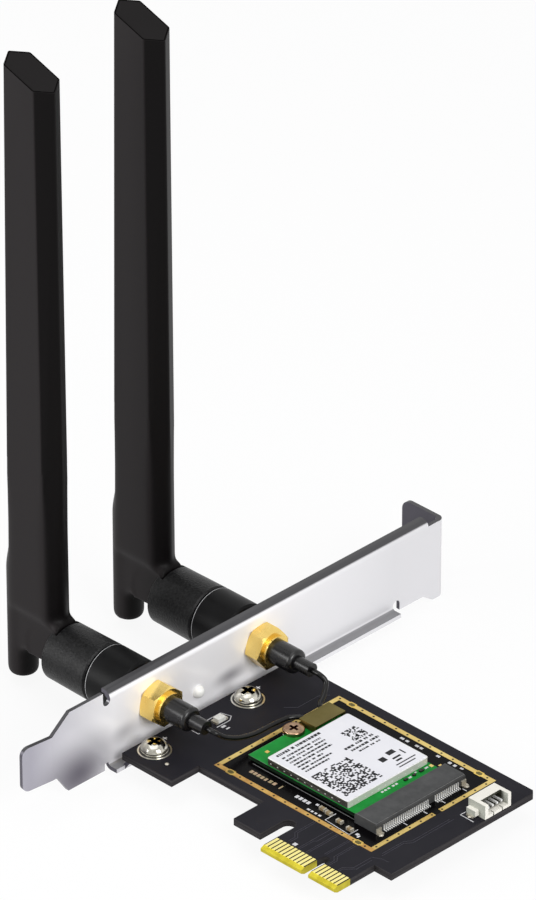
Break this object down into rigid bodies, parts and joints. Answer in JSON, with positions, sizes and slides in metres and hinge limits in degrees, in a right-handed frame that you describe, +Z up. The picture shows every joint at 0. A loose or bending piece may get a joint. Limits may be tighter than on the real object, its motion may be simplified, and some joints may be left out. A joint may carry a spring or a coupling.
{
  "type": "wireless network card",
  "caption": "Slot card with a shielded radio module and a folded steel bracket, whose paddle antennas turn and fold on coaxial connectors.",
  "frame": {"origin": "middle of the contact edge's key notch, on the line of the contact edge, at the card's underside", "axes": "+X away from the bracket along the card, +Y along the bracket towards its screw flange, +Z up from the solder side to the component side"},
  "size_m": [0.1119, 0.12, 0.1455],
  "materials": {
    "bracket_steel": "satin nickel plate over folded steel",
    "board_black": "black solder mask over glass laminate",
    "contact_gold": "bright gold plate",
    "frame_gold": "pale gold plate",
    "land_tin": "tinned metal",
    "screw_nickel": "nickel plate",
    "connector_gold": "polished gold-plated brass",
    "washer_steel": "zinc plate",
    "boot_black": "soft black sleeve",
    "nut_black": "smooth satin black",
    "elbow_black": "fine-grained satin black",
    "blade_black": "satin black moulding",
    "socket_grey": "dark grey moulding",
    "contact_tin": "bright tin",
    "module_green": "green solder mask",
    "shield_tin": "tinned sheet",
    "label_white": "matt white label",
    "screw_copper": "coppery plate",
    "cover_gold": "olive gold sheet",
    "plug_gold": "gold plate",
    "lead_black": "black coaxial jacket",
    "header_white": "ivory moulding",
    "lamp_white": "milky lens on a tinned base",
    "chip_black": "black glaze with tinned ends"
  },
  "bodies": {
    "card": {"bracket": "bracket_steel", "main_board": "board_black", "edge_contacts": "contact_gold", "plated_frame": "frame_gold", "screw_lands": "land_tin", "board_screws": "screw_nickel", "socket_housing": "socket_grey", "socket_contacts": "contact_tin", "socket_anchors": "contact_tin", "module_board": "module_green", "module_shield": "shield_tin", "module_label": "label_white", "module_standoff": "land_tin", "module_screw": "screw_copper", "coax_cover": "cover_gold", "header_shell": "header_white", "header_pins": "contact_tin", "header_anchors": "contact_tin", "indicator_lens": "lamp_white", "indicator_lamp": "lamp_white", "resistors": "chip_black", "front_connector": "connector_gold", "front_lock_washer": "washer_steel", "front_jam_nut": "connector_gold", "front_boot": "boot_black", "front_coupling_nut": "nut_black", "front_coax_plug": "plug_gold", "front_coax_lead": "lead_black", "rear_connector": "connector_gold", "rear_lock_washer": "washer_steel", "rear_jam_nut": "connector_gold", "rear_boot": "boot_black", "rear_coupling_nut": "nut_black", "rear_coax_plug": "plug_gold", "rear_coax_lead": "lead_black"},
    "front_swivel": {"front_elbow": "elbow_black"},
    "front_antenna": {"front_blade": "blade_black", "front_hinge_pin": "washer_steel"},
    "rear_swivel": {"rear_elbow": "elbow_black"},
    "rear_antenna": {"rear_blade": "blade_black", "rear_hinge_pin": "washer_steel"}
  },
  "joints": [
    {"name": "front_turn", "type": "hinge", "parent": "card", "child": "front_swivel", "pos_m": [-0.07165, 0.0156, 0.0078], "axis": [1, 0, 0], "range_deg": [0, 180]},
    {"name": "front_fold", "type": "hinge", "parent": "front_swivel", "child": "front_antenna", "pos_m": [-0.0858, 0.0156, 0.0078], "axis": [0, -1, 0], "range_deg": [0, 90]},
    {"name": "rear_turn", "type": "hinge", "parent": "card", "child": "rear_swivel", "pos_m": [-0.07165, 0.0456, 0.0078], "axis": [-1, 0, 0], "range_deg": [0, 180]},
    {"name": "rear_fold", "type": "hinge", "parent": "rear_swivel", "child": "rear_antenna", "pos_m": [-0.0858, 0.0456, 0.0078], "axis": [0, -1, 0], "range_deg": [0, 90]}
  ]
}
